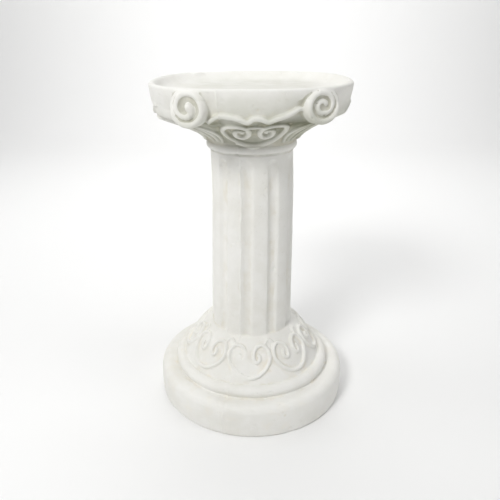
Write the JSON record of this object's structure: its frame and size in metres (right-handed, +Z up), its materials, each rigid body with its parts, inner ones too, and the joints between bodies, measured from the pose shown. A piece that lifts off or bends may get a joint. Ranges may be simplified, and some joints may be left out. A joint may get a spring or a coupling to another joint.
{
  "type": "garden column pedestal",
  "caption": "Low fluted garden column on a round drum base, with a scrolled apron, a bell and a volute-cornered bowl whose shallow dish holds a pot",
  "frame": {"origin": "Middle of the flat underside of the round base, which stands on the floor", "axes": "+Z runs up the axis of the column; the front, with an open scroll between two volutes, faces -Y; +X is to the right of someone who looks at the front"},
  "size_m": [0.362, 0.362, 0.59],
  "materials": {
    "cast_cement": "matte off-white cast cement, slightly mottled"
  },
  "bodies": {
    "root": {"column": "cast_cement"}
  },
  "joints": []
}
